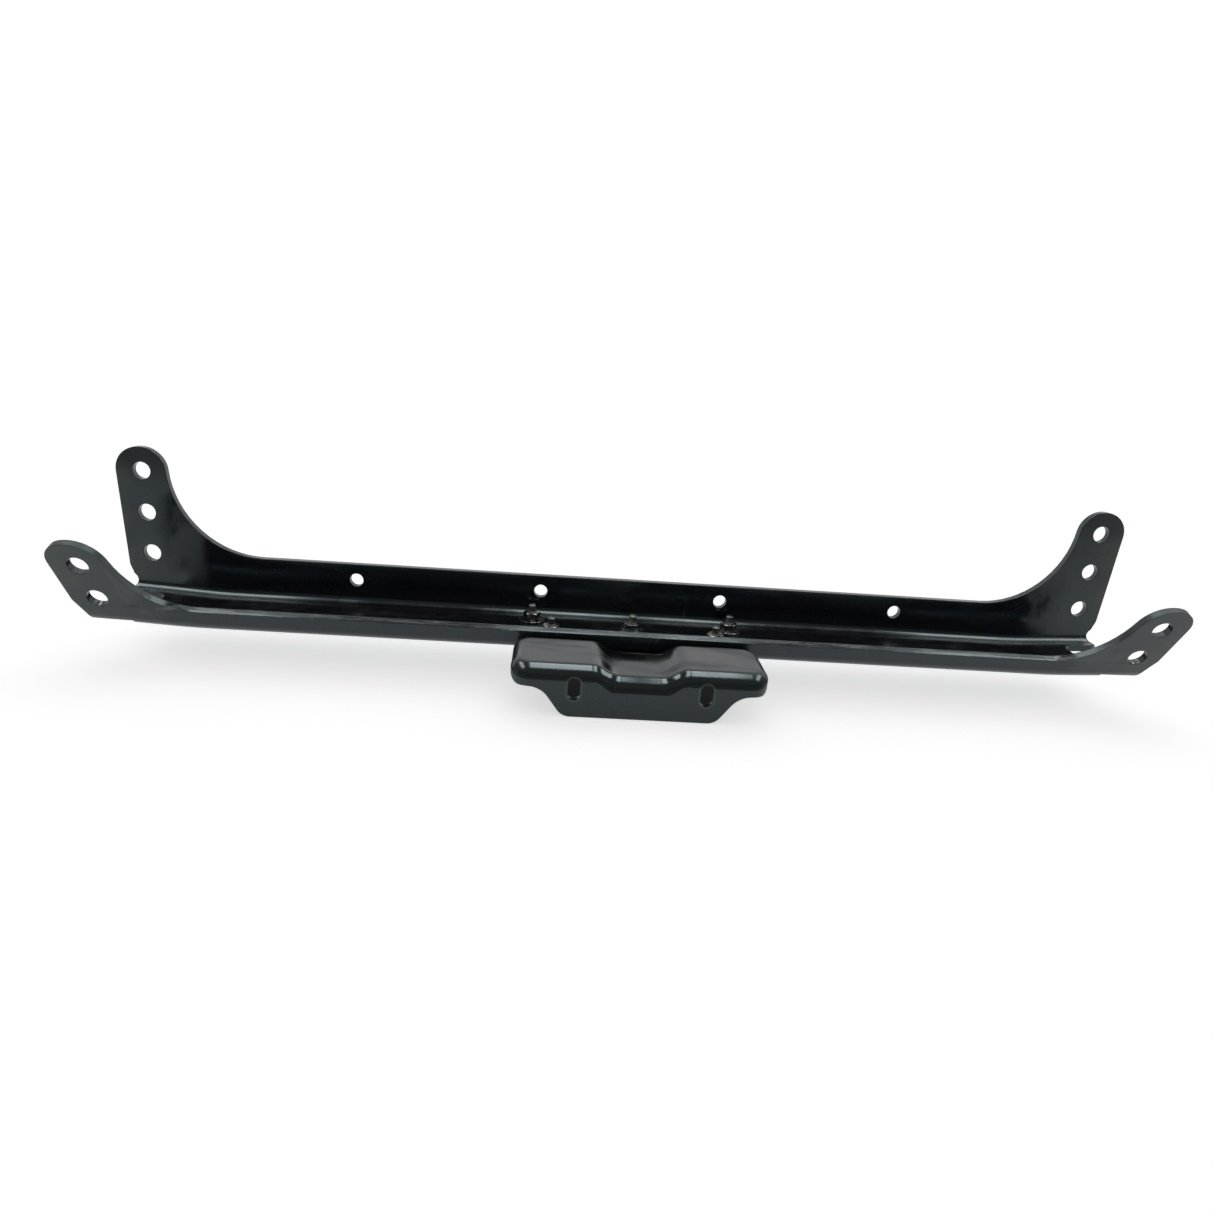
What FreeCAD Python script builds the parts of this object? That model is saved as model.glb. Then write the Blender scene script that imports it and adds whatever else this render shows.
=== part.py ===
import FreeCAD, Part
import math
import os

import Sketcher

# Pressed-steel frame crossmember with a bolted centre support bracket.
#
# Frame: X runs across the vehicle, Y points to the rear, Z is up. The origin is the centre of the
# six holes in the two rear ears, on the rear face that is bolted up. Every body is drawn about a
# datum of its own, the middle of the channel's floor on its upper surface, and then shifted so
# that the hole centre is the origin. All sizes are millimetres, in the sheet called Dimensions.

# alias: value in millimetres or degrees
CHANNEL = {
    "plate": 6.0,                  # thickness of the channel's steel
    "bend_radius": 6.0,            # inside radius of both long bends
    "floor_width": 69.4,           # between the flanges' inner faces at floor level
    "front_lean": 22.5,            # how far the front flange leans out, degrees
    "rear_shelf_z": 34.4,          # upper edge of the rear flange between the ears
    "front_shelf_z": 15.4,         # the same at the front, measured along the leaning flange
    "blank_half_length": 446.0,
    "blank_height": 128.0,
    "rise_start_x": 341.0,         # where the floor starts to sweep up towards an end
    "rise_radius": 450.0,
    "rise_angle": 3.3,             # slope of the floor's ends, degrees
    "rear_tip_x": 414.4,           # centre of the round tip of a rear ear
    "rear_tip_z": 103.6,
    "rear_tip_radius": 20.1,
    "rear_sweep_radius": 74.5,
    "rear_foot_x": 430.8,          # where the ear's outer side meets its chamfer
    "rear_foot_z": 23.0,
    "notch_x": 432.0,              # round relief at the end of the rear bend
    "notch_z": 9.0,
    "notch_radius": 7.0,
    "notch_start_x": 427.8,
    "front_tip_x": 424.0,          # centre of the broad arc at the tip of a front ear
    "front_tip_z": 49.6,
    "front_tip_radius": 24.9,
    "front_corner_x": 426.9,       # centre of the tighter arc at the tip's outer corner
    "front_corner_radius": 14.5,
    "front_sweep_radius": 60.5,
    "front_foot_x": 434.8,
    "front_foot_z": 21.5,
    "front_heel_x": 428.0,
    "front_heel_z": 8.5,
    "front_toe_x": 425.0,
    "relief_x": 395.0,             # inner end of the slot that frees the front bend
    "relief_y": 22.0,
    "relief_radius": 10.0,
    "rear_hole_x": 412.6,          # middle hole of each rear ear
    "rear_hole_slant": 1.25,       # how far each hole stands out from the one below it
    "rear_hole_z": 34.0,
    "rear_hole_pitch": 35.0,
    "rear_hole_diameter": 14.3,
    "front_hole_x": 420.0,
    "front_hole_z": 55.0,          # along the leaning flange, as front_tip_z and front_foot_z are
    "front_low_hole_x": 415.3,
    "front_low_hole_z": 24.2,
    "front_hole_diameter": 15.6,
    "clip_hole_pitch": 160.0,
    "clip_hole_z": 20.4,
    "clip_hole_diameter": 11.5,
}
BRACKET = {
    "sheet": 4.5,                  # thickness of the bracket's steel
    "box_half_width": 97.3,
    "box_rear": 45.5,              # rear wall's outer face, ahead of the datum
    "box_front": 108.0,            # front wall's outer face, ahead of the datum
    "lobe_z": 9.2,
    "saddle_z": 1.5,
    "band_z": -8.0,                # lower edge of the side walls and the front band
    "band_corner": 7.0,            # rounding where that edge turns up at each side
    "saddle_half": 20.0,
    "lobe_inner": 32.0,
    "corner_radius": 15.0,
    "ramp_radius": 18.0,
    "crown_radius": 8.0,
    "tongue_z": -31.0,
    "tongue_half": 51.5,
    "tongue_top": 84.0,
    "tongue_corner": 12.0,
    "tongue_sweep": 19.0,
    "slot_x": 49.5,
    "slot_z": -8.7,
    "slot_width": 9.5,
    "slot_length": 18.0,
    "base_half_width": 95.5,
    "base_rear": 27.0,
    "base_corner": 10.0,
}
FASTENERS = {
    "bolt_hole": 9.0,
    "outer_bolt_x": 86.0,
    "outer_bolt_y": 13.8,
    "inner_bolt_x": 69.0,
    "inner_bolt_y": -17.0,
    "shank": 7.9,
    "thread_bore": 8.0,
    "bolt_length": 25.0,
    "point_length": 5.5,
    "point": 6.2,
    "hex": 13.0,
    "head_flange": 17.0,
    "head_height": 6.5,
    "nut_height": 6.5,
    "washer_outer": 21.0,
    "washer_bore": 8.8,
    "washer_thick": 1.6,
    "bevel": 0.5,                  # turned edge at a bolt's point and its head flange
}
HEX_FLAT = 0.485                   # where a hexagon's turned corner starts, over the flats
HEX_TIP = 0.64                     # a radius beyond its corners, over the flats
HEX_TURN = math.radians(30)
COLLAR = 0.25                      # flange's part of a bolt head's height
NECK_SLOPE = 1.2                   # length of a bolt's neck cone over the step in radius

doc = FreeCAD.newDocument("crossmember")
sheet = doc.addObject("Spreadsheet::Sheet", "Dimensions")
row = 1
for group in (CHANNEL, BRACKET, FASTENERS):
    for alias, number in group.items():
        sheet.set(f"A{row}", alias)
        sheet.set(f"B{row}", str(number))
        sheet.setAlias(f"B{row}", alias)
        row += 1
doc.recompute()

NODES = []


def size(alias):
    """A driving dimension, read back from the sheet."""
    return float(sheet.get(alias))


class Length:
    """A sum of driving dimensions: its value now, and the formula that ties it to the sheet."""

    def __init__(self, **parts):
        self.parts = parts
        self.value = sum(factor * size(alias) for alias, factor in parts.items())
        terms = [f"{factor} * Dimensions.{alias}" for alias, factor in parts.items()]
        self.formula = " + ".join(terms) or "0"

    def plus(self, other, share=1):
        """This sum with a share of another added."""
        total = dict(self.parts)
        for alias, factor in other.parts.items():
            total[alias] = total.get(alias, 0) + share * factor
        return Length(**total)


def plane(body, role):
    return next(item for item in body.Origin.OriginFeatures if item.Role == role)


def new_body(label):
    body = doc.addObject("PartDesign::Body", label)
    body.Label = label
    NODES.append(body)
    return body


def new_sketch(body, name, role):
    sketch = body.newObject("Sketcher::SketchObject", name)
    sketch.AttachmentSupport = (plane(body, role), [""])
    sketch.MapMode = "FlatFace"
    return sketch


def fix(sketch, kind, *refs, to=None):
    """Add one constraint; a Length gives it its value and ties it to the sheet."""
    terms = refs + (to.value,) if to else refs
    index = sketch.addConstraint(Sketcher.Constraint(kind, *terms))
    if to:
        sketch.setExpression(f"Constraints[{index}]", to.formula)


def place(sketch, geo, end, across, up):
    """Hold a point of a sketch at a distance across and up from the sketch's origin."""
    fix(sketch, "DistanceX", -1, 1, geo, end, to=across)
    fix(sketch, "DistanceY", -1, 1, geo, end, to=up)


def line(sketch, start, end):
    first = FreeCAD.Vector(start[0], start[1], 0)
    second = FreeCAD.Vector(end[0], end[1], 0)
    return sketch.addGeometry(Part.LineSegment(first, second), False)


def circle(sketch, centre, radius):
    middle = FreeCAD.Vector(centre[0], centre[1], 0)
    return sketch.addGeometry(Part.Circle(middle, FreeCAD.Vector(0, 0, 1), radius), False)


def arc(sketch, centre, radius, first, last):
    """An arc counterclockwise between two angles in degrees."""
    middle = FreeCAD.Vector(centre[0], centre[1], 0)
    whole = Part.Circle(middle, FreeCAD.Vector(0, 0, 1), radius)
    piece = Part.ArcOfCircle(whole, math.radians(first), math.radians(last))
    return sketch.addGeometry(piece, False)


def join(sketch, kind, pairs):
    for pair in pairs:
        fix(sketch, kind, *pair)


def polygon(sketch, corners):
    """A closed run of lines joined end to end."""
    ends = corners[1:] + corners[:1]
    lines = [line(sketch, start, end) for start, end in zip(corners, ends)]
    followers = lines[1:] + lines[:1]
    join(sketch, "Coincident", [(one, 2, two, 1) for one, two in zip(lines, followers)])
    return lines


def grow(body, kind, name, sketch, length, **options):
    """Pad or pocket a sketch by a length from the sheet and check that the solid changed."""
    before = body.Shape.Volume if body.Tip else 0.0
    item = body.newObject(f"PartDesign::{kind}", name)
    item.Profile = sketch
    for option, setting in options.items():
        setattr(item, option, setting)
    item.setExpression("Length", length.formula)
    doc.recompute()
    change = body.Shape.Volume - before
    if (kind == "Pad" and change < 1) or (kind == "Pocket" and change > -1):
        raise RuntimeError(f"{name} leaves the solid as it was")
    return item


def drill(body, name, sketch, diameter, centres, depth, **options):
    """Round holes of one diameter about centres that are pairs of Lengths."""
    for across, up in centres:
        hole = circle(sketch, (across.value, up.value), size(diameter) / 2)
        fix(sketch, "Diameter", hole, to=Length(**{diameter: 1}))
        place(sketch, hole, 3, across, up)
    return grow(body, "Pocket", name, sketch, depth, **options)


def round_edges(body, name, chosen, radius):
    """Fillet the edges of the body's present solid that the test picks."""
    base = body.Tip
    picked = [f"Edge{n}" for n, edge in enumerate(base.Shape.Edges, 1) if chosen(edge)]
    if not picked:
        raise RuntimeError(f"{name} finds no edge")
    item = body.newObject("PartDesign::Fillet", name)
    item.Base = (base, picked)
    item.setExpression("Radius", radius.formula)
    doc.recompute()
    return item


def mirror(body, name, original):
    item = body.newObject("PartDesign::Mirrored", name)
    item.Originals = [original]
    item.MirrorPlane = (plane(body, "YZ_Plane"), [""])
    body.Tip = item
    doc.recompute()
    return item


def stand(body, centre=None, **height):
    """Shift a body from the floor's middle to the part's frame, or to a bolt's centre in it."""
    across, back = centre or (Length(), Length())
    spots = {
        "x": across.formula,
        "y": f"{back.formula} - 0.5 * Dimensions.floor_width - Dimensions.plate",
        "z": f"{Length(**height).formula} - Dimensions.rear_hole_z - Dimensions.rear_hole_pitch",
    }
    for axis, formula in spots.items():
        body.setExpression(f"Placement.Base.{axis}", formula)


def along(edge, axis):
    straight = edge.Curve.TypeId == "Part::GeomLine"
    return straight and abs(edge.Curve.Direction.dot(axis)) > 0.999


def near(point, **where):
    """True if the point has these coordinates, such as x=0, within a hundredth."""
    return all(abs(getattr(point, name) - number) < 0.01 for name, number in where.items())


AXIS_Y = FreeCAD.Vector(0, 1, 0)
AXIS_Z = FreeCAD.Vector(0, 0, 1)


# ---- crossmember channel ---------------------------------------------------------------------

# Y planes that end the rising floor, each inside a flange's thickness
FLOOR_FRONT = Length(floor_width=0.5, plate=0.58)
FLOOR_REAR = Length(floor_width=0.5, plate=0.5)

def channel_section(body):
    """Upright rear flange, flat floor and leaning front flange, with square bends."""
    half = size("floor_width") / 2
    plate = size("plate")
    tall = size("blank_height")
    lean = math.radians(size("front_lean"))
    up = (-math.sin(lean), math.cos(lean))
    out = (-math.cos(lean), -math.sin(lean))
    reach = tall * 0.7
    tip = (-half + reach * up[0], reach * up[1])
    heel = -half - plate * math.tan((math.pi / 2 - lean) / 2)
    corners = [
        (half, tall),
        (half, 0),
        (-half, 0),
        tip,
        (tip[0] + plate * out[0], tip[1] + plate * out[1]),
        (heel, -plate),
        (half + plate, -plate),
        (half + plate, tall),
    ]
    sketch = new_sketch(body, "channel_section", "YZ_Plane")
    inner, floor, lean_in, lip, lean_out, under, outer, top = polygon(sketch, corners)
    for geo in (inner, outer):
        fix(sketch, "Vertical", geo)
    for geo in (floor, under, top):
        fix(sketch, "Horizontal", geo)
    fix(sketch, "Parallel", lean_in, lean_out)
    fix(sketch, "Perpendicular", lean_in, lip)
    fix(sketch, "PointOnObject", inner, 2, -1)
    fix(sketch, "DistanceX", -1, 1, inner, 2, to=Length(floor_width=0.5))
    fix(sketch, "DistanceX", floor, 2, -1, 1, to=Length(floor_width=0.5))
    fix(sketch, "DistanceX", inner, 2, outer, 1, to=Length(plate=1))
    fix(sketch, "DistanceY", outer, 1, inner, 2, to=Length(plate=1))
    fix(sketch, "DistanceY", inner, 2, inner, 1, to=Length(blank_height=1))
    fix(sketch, "Distance", lip, to=Length(plate=1))
    fix(sketch, "Distance", lean_in, to=Length(blank_height=0.7))
    lean_angle = sketch.addConstraint(
        Sketcher.Constraint("Angle", floor, 2, lean_in, 1, math.pi / 2 + lean))
    sketch.setExpression(f"Constraints[{lean_angle}]", "(90 + Dimensions.front_lean) * 1 deg")
    return sketch


def tangent_foot(centre, radius, foot):
    """Turn, in degrees, at which a line from the foot touches the outer side of an arc."""
    gap = math.hypot(foot[0] - centre[0], foot[1] - centre[1])
    away = math.atan2(foot[1] - centre[1], foot[0] - centre[0])
    return math.degrees(away + math.acos(radius / gap))


def on_arc(centre, radius, degrees):
    turn = math.radians(degrees)
    return (centre[0] + radius * math.cos(turn), centre[1] + radius * math.sin(turn))


def ear_outline(sketch, which):
    """Shelf, concave sweep, round tip and outer side of one ear, as tangent lines and arcs."""
    def cell(name):
        return Length(**{f"{which}_{name}": 1})

    shelf_z = size(f"{which}_shelf_z")
    tip = (size(f"{which}_tip_x"), size(f"{which}_tip_z"))
    tip_radius = size(f"{which}_tip_radius")
    radius = size(f"{which}_sweep_radius")
    foot = (size(f"{which}_foot_x"), size(f"{which}_foot_z"))
    rise = tip[1] - shelf_z - radius
    turn = math.degrees(math.asin(rise / (radius + tip_radius)))
    centre = (tip[0] - (radius + tip_radius) * math.cos(math.radians(turn)), shelf_z + radius)
    two_arcs = f"{which}_corner_radius" in CHANNEL
    last = tip
    last_radius = tip_radius
    if two_arcs:
        last_radius = size(f"{which}_corner_radius")
        across = size(f"{which}_corner_x") - tip[0]
        last = (tip[0] + across,
                tip[1] + math.sqrt((tip_radius - last_radius) ** 2 - across ** 2))
    start = tangent_foot(last, last_radius, foot)
    shelf = line(sketch, (0, shelf_z), (centre[0], shelf_z))
    sweep = arc(sketch, centre, radius, 270, 360 + turn)
    change = math.degrees(math.atan2(last[1] - tip[1], last[0] - tip[0])) if two_arcs else start
    crown = arc(sketch, tip, tip_radius, change, 180 + turn)
    corner = arc(sketch, last, last_radius, start, change) if two_arcs else crown
    side = line(sketch, on_arc(last, last_radius, start), foot)
    tangents = [(shelf, 2, sweep, 1), (sweep, 2, crown, 2), (corner, 1, side, 1)]
    join(sketch, "Tangent", tangents)
    fix(sketch, "Horizontal", shelf)
    fix(sketch, "PointOnObject", shelf, 1, -2)
    fix(sketch, "DistanceY", -1, 1, shelf, 1, to=cell("shelf_z"))
    place(sketch, crown, 3, cell("tip_x"), cell("tip_z"))
    fix(sketch, "Radius", crown, to=cell("tip_radius"))
    fix(sketch, "Radius", sweep, to=cell("sweep_radius"))
    place(sketch, side, 2, cell("foot_x"), cell("foot_z"))
    if two_arcs:
        fix(sketch, "Tangent", crown, 1, corner, 2)
        fix(sketch, "Radius", corner, to=cell("corner_radius"))
        fix(sketch, "DistanceX", -1, 1, corner, 3, to=cell("corner_x"))
    return shelf, side


def close_outline(sketch, shelf, last, start):
    """Run from the lower end of an outline round the blank's outside to the shelf."""
    low = -size("plate") * 3
    wide = size("blank_half_length") * 1.05
    high = size("blank_height") * 1.2
    shelf_z = sketch.Geometry[shelf].StartPoint.y
    corners = [start, (start[0], low), (wide, low), (wide, high), (0, high), (0, shelf_z)]
    border = [line(sketch, one, two) for one, two in zip(corners, corners[1:])]
    chain = [last] + border
    join(sketch, "Coincident", [(one, 2, two, 1) for one, two in zip(chain, border)])
    fix(sketch, "Coincident", border[-1], 2, shelf, 1)
    for geo in (border[0], border[2], border[4]):
        fix(sketch, "Vertical", geo)
    for geo in (border[1], border[3]):
        fix(sketch, "Horizontal", geo)
    fix(sketch, "DistanceY", border[1], 1, -1, 1, to=Length(plate=3))
    fix(sketch, "DistanceX", -1, 1, border[2], 1, to=Length(blank_half_length=1.05))
    fix(sketch, "DistanceY", -1, 1, border[3], 1, to=Length(blank_height=1.2))


def rear_cutaway(body):
    """What is cut from one end of the rear flange, its bend and the floor behind it."""
    sketch = new_sketch(body, "rear_cutaway", "XZ_Plane")
    shelf, side = ear_outline(sketch, "rear")
    foot = (size("rear_foot_x"), size("rear_foot_z"))
    notch = (size("notch_x"), size("notch_z"))
    radius = size("notch_radius")
    turn = math.acos((size("notch_start_x") - notch[0]) / radius)
    start = (size("notch_start_x"), notch[1] + radius * math.sin(turn))
    chamfer = line(sketch, foot, start)
    relief = arc(sketch, notch, radius, math.degrees(turn), 270)
    join(sketch, "Coincident", [(side, 2, chamfer, 1), (chamfer, 2, relief, 1)])
    close_outline(sketch, shelf, relief, (notch[0], notch[1] - radius))
    place(sketch, relief, 3, Length(notch_x=1), Length(notch_z=1))
    fix(sketch, "Radius", relief, to=Length(notch_radius=1))
    fix(sketch, "DistanceX", -1, 1, chamfer, 2, to=Length(notch_start_x=1))
    fix(sketch, "DistanceX", -1, 1, relief, 2, to=Length(notch_x=1))
    return sketch


def lean_sketch(body, name):
    """A sketch on the front flange's inner face, its origin where that face meets the floor."""
    sketch = new_sketch(body, name, "XZ_Plane")
    turn = FreeCAD.Rotation(FreeCAD.Vector(1, 0, 0), size("front_lean"))
    sketch.AttachmentOffset = FreeCAD.Placement(FreeCAD.Vector(0, 0, 1), turn)
    sketch.setExpression("AttachmentOffset.Base.z", Length(floor_width=0.5).formula)
    sketch.setExpression("AttachmentOffset.Rotation.Angle", "Dimensions.front_lean * 1 deg")
    return sketch


def front_cutaway(body):
    """What is cut from one end of the leaning front flange."""
    sketch = lean_sketch(body, "front_cutaway")
    shelf, side = ear_outline(sketch, "front")
    foot = (size("front_foot_x"), size("front_foot_z"))
    heel = (size("front_heel_x"), size("front_heel_z"))
    toe = (size("front_toe_x"), 0)
    chamfer = line(sketch, foot, heel)
    taper = line(sketch, heel, toe)
    join(sketch, "Coincident", [(side, 2, chamfer, 1), (chamfer, 2, taper, 1)])
    close_outline(sketch, shelf, taper, toe)
    place(sketch, chamfer, 2, Length(front_heel_x=1), Length(front_heel_z=1))
    fix(sketch, "DistanceX", -1, 1, taper, 2, to=Length(front_toe_x=1))
    fix(sketch, "PointOnObject", taper, 2, -1)
    return sketch


def rise_run(sketch, depth, reach):
    """Arc and straight run of the floor's end, at a depth below its upper surface."""
    start = size("rise_start_x")
    radius = size("rise_radius")
    angle = math.radians(size("rise_angle"))
    far = radius + depth.value
    lift = on_arc((start, radius), far, size("rise_angle") - 90)
    outer = (reach.value, lift[1] + (reach.value - lift[0]) * math.tan(angle))
    bend = arc(sketch, (start, radius), far, 270, 270 + size("rise_angle"))
    run = line(sketch, lift, outer)
    fix(sketch, "Tangent", bend, 2, run, 1)
    place(sketch, bend, 3, Length(rise_start_x=1), Length(rise_radius=1))
    fix(sketch, "DistanceX", -1, 1, bend, 1, to=Length(rise_start_x=1))
    fix(sketch, "DistanceX", -1, 1, run, 2, to=reach)
    turn = sketch.addConstraint(Sketcher.Constraint("Angle", run, angle))
    sketch.setExpression(f"Constraints[{turn}]", "Dimensions.rise_angle * 1 deg")
    return bend, run, outer


def under_rise(body):
    """What is cut from below where the floor sweeps up to an end."""
    sketch = new_sketch(body, "under_rise", "XZ_Plane")
    start = size("rise_start_x")
    reach = Length(blank_half_length=1.05)
    low = -size("plate") * 3
    bend, run, outer = rise_run(sketch, Length(plate=1), reach)
    end = line(sketch, outer, (outer[0], low))
    under = line(sketch, (outer[0], low), (start, low))
    back = line(sketch, (start, low), (start, -size("plate")))
    chain = [(run, 2, end, 1), (end, 2, under, 1), (under, 2, back, 1), (back, 2, bend, 1)]
    join(sketch, "Coincident", chain)
    fix(sketch, "DistanceY", bend, 1, -1, 1, to=Length(plate=1))
    for geo in (end, back):
        fix(sketch, "Vertical", geo)
    fix(sketch, "Horizontal", under)
    fix(sketch, "DistanceY", under, 2, -1, 1, to=Length(plate=3))
    return sketch


def rising_floor(body):
    """Side view of the floor's plate where it sweeps up to an end."""
    sketch = new_sketch(body, "rising_floor", "XZ_Plane")
    sketch.setExpression("AttachmentOffset.Base.z", FLOOR_FRONT.formula)
    reach = Length(blank_half_length=1)
    start = size("rise_start_x")
    upper_bend, upper_run, upper_end = rise_run(sketch, Length(), reach)
    lower_bend, lower_run, lower_end = rise_run(sketch, Length(plate=1), reach)
    end = line(sketch, upper_end, lower_end)
    back = line(sketch, (start, -size("plate")), (start, 0))
    chain = [(upper_run, 2, end, 1), (end, 2, lower_run, 2),
             (lower_bend, 1, back, 1), (back, 2, upper_bend, 1)]
    join(sketch, "Coincident", chain)
    fix(sketch, "PointOnObject", upper_bend, 1, -1)
    fix(sketch, "DistanceY", lower_bend, 1, -1, 1, to=Length(plate=1))
    return sketch


def bend_relief(body):
    """Section of what is cut from one end to free the front bend: the floor's front part, its
    bend and the flange below the datum, but not the flange above it."""
    sketch = new_sketch(body, "bend_relief", "YZ_Plane")
    sketch.setExpression("AttachmentOffset.Base.z", Length(relief_x=1).formula)
    half = size("floor_width") / 2
    far = size("relief_y")
    tall = size("plate") * 3
    slope = math.tan(math.radians(size("front_lean")))
    corners = [
        (far, -tall),
        (far, tall),
        (-half - tall * slope, tall),
        (-half, 0),
        (-2 * half, 0),
        (-2 * half, -tall),
    ]
    back, top, lean, step, front, under = polygon(sketch, corners)
    for geo in (back, front):
        fix(sketch, "Vertical", geo)
    for geo in (top, under):
        fix(sketch, "Horizontal", geo)
    fix(sketch, "DistanceX", -1, 1, back, 2, to=Length(relief_y=1))
    fix(sketch, "DistanceY", -1, 1, back, 2, to=Length(plate=3))
    fix(sketch, "DistanceY", back, 1, -1, 1, to=Length(plate=3))
    fix(sketch, "PointOnObject", step, 1, -1)
    fix(sketch, "PointOnObject", step, 2, -1)
    fix(sketch, "DistanceX", step, 1, -1, 1, to=Length(floor_width=0.5))
    fix(sketch, "DistanceX", step, 2, -1, 1, to=Length(floor_width=1))
    turn = sketch.addConstraint(
        Sketcher.Constraint("Angle", lean, 2, step, 1, math.pi / 2 - math.atan(slope)))
    sketch.setExpression(f"Constraints[{turn}]", "(90 - Dimensions.front_lean) * 1 deg")
    return sketch


def bolt_centres():
    """Where the five bolts stand, as Lengths along X and Y, by the name of the place."""
    return {
        "rear_left": (Length(outer_bolt_x=-1), Length(outer_bolt_y=1)),
        "rear_right": (Length(outer_bolt_x=1), Length(outer_bolt_y=1)),
        "front_left": (Length(inner_bolt_x=-1), Length(inner_bolt_y=1)),
        "front_right": (Length(inner_bolt_x=1), Length(inner_bolt_y=1)),
        "centre": (Length(), Length()),
    }


def on_bend(edge, offset, floor_z):
    """True for an edge where the floor meets a flange, on the flanges' inner or outer faces.

    The offset is how far outside the inner faces the edge's flange face lies, and floor_z is the
    height of the floor's face between the rises.
    """
    half = size("floor_width") / 2
    lean = math.radians(size("front_lean"))
    highest = floor_z + size("plate") * 1.5
    if edge.BoundBox.ZMax > highest or edge.BoundBox.ZMin < floor_z - 0.01:
        return False
    ends = [vertex.Point for vertex in edge.Vertexes]
    rear = all(abs(end.y - half - offset) < 0.01 for end in ends)
    front = all(abs(end.y + half + end.z * math.tan(lean) + offset / math.cos(lean)) < 0.01
                for end in ends)
    return rear or front


def make_channel():
    body = new_body("crossmember_channel")
    plate = size("plate")
    section = channel_section(body)
    grow(body, "Pad", "channel_blank", section, Length(blank_half_length=2), Midplane=True)
    lifted = grow(body, "Pocket", "lifted_end", under_rise(body), Length(floor_width=4),
                  Midplane=True)
    mirror(body, "lifted_ends", lifted)
    floor_reach = Length(floor_width=1, plate=1.08)
    risen = grow(body, "Pad", "risen_floor", rising_floor(body), floor_reach, Reversed=True)
    mirror(body, "risen_floors", risen)
    round_edges(body, "inner_bends", lambda edge: on_bend(edge, 0, 0), Length(bend_radius=1))
    round_edges(body, "outer_bends", lambda edge: on_bend(edge, plate, -plate),
                Length(bend_radius=1, plate=1))
    rear = grow(body, "Pocket", "rear_ear", rear_cutaway(body), Length(floor_width=1))
    mirror(body, "rear_ears", rear)
    front = grow(body, "Pocket", "front_ear", front_cutaway(body), Length(plate=4), Midplane=True)
    mirror(body, "front_ears", front)
    relief = grow(body, "Pocket", "end_relief", bend_relief(body), Length(floor_width=1),
                  Reversed=True)
    mirror(body, "end_reliefs", relief)
    relief_y = size("relief_y")
    round_edges(body, "relief_corners",
                lambda edge: along(edge, AXIS_Z) and near(edge.CenterOfMass, y=relief_y),
                Length(relief_radius=1))
    ears = [(Length(rear_hole_x=sign, rear_hole_slant=sign * (n - 1)),
             Length(rear_hole_z=1, rear_hole_pitch=n))
            for sign in (-1, 1) for n in range(3)]
    clips = [(Length(clip_hole_pitch=step), Length(clip_hole_z=1))
             for step in (-1.5, -0.5, 0.5, 1.5)]
    fronts = [(Length(**{f"{hole}_x": sign}), Length(**{f"{hole}_z": 1}))
              for sign in (-1, 1) for hole in ("front_hole", "front_low_hole")]
    drill(body, "rear_ear_holes", new_sketch(body, "rear_hole_centres", "XZ_Plane"),
          "rear_hole_diameter", ears, Length(floor_width=1))
    drill(body, "clip_holes", new_sketch(body, "clip_hole_centres", "XZ_Plane"),
          "clip_hole_diameter", clips, Length(floor_width=1))
    drill(body, "front_ear_holes", lean_sketch(body, "front_hole_centres"),
          "front_hole_diameter", fronts, Length(plate=4), Midplane=True)
    drill(body, "bolt_holes", new_sketch(body, "bolt_hole_centres", "XY_Plane"),
          "bolt_hole", bolt_centres().values(), Length(plate=3))
    stand(body)
    return body


# ---- support bracket -------------------------------------------------------------------------

def box_outline(body):
    """Front view of the bracket's box: two raised lobes, ramps and a low saddle between them."""
    half = size("box_half_width")
    lobe = size("lobe_z")
    saddle = size("saddle_z")
    top_x = size("lobe_inner")
    low_x = size("saddle_half")
    base = size("band_z")
    corners = [
        (-half, base),
        (-half, lobe),
        (-top_x, lobe),
        (-low_x, saddle),
        (low_x, saddle),
        (top_x, lobe),
        (half, lobe),
        (half, base),
    ]
    sketch = new_sketch(body, "box_outline", "XZ_Plane")
    sketch.setExpression("AttachmentOffset.Base.z", Length(box_front=1).formula)
    left, left_top, left_ramp, floor, right_ramp, right_top, right, under = polygon(sketch, corners)
    for geo in (left, right):
        fix(sketch, "Vertical", geo)
    for geo in (left_top, floor, right_top, under):
        fix(sketch, "Horizontal", geo)
    for sign, wall, wall_end, ramp, ramp_top, ramp_foot in (
            (-1, left, 2, left_ramp, 1, 2), (1, right, 1, right_ramp, 2, 1)):
        place(sketch, wall, wall_end, Length(box_half_width=sign), Length(lobe_z=1))
        fix(sketch, "DistanceX", -1, 1, ramp, ramp_top, to=Length(lobe_inner=sign))
        fix(sketch, "DistanceX", -1, 1, ramp, ramp_foot, to=Length(saddle_half=sign))
    fix(sketch, "DistanceY", -1, 1, floor, 2, to=Length(saddle_z=1))
    fix(sketch, "DistanceY", -1, 1, under, 1, to=Length(band_z=1))
    return sketch


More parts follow.
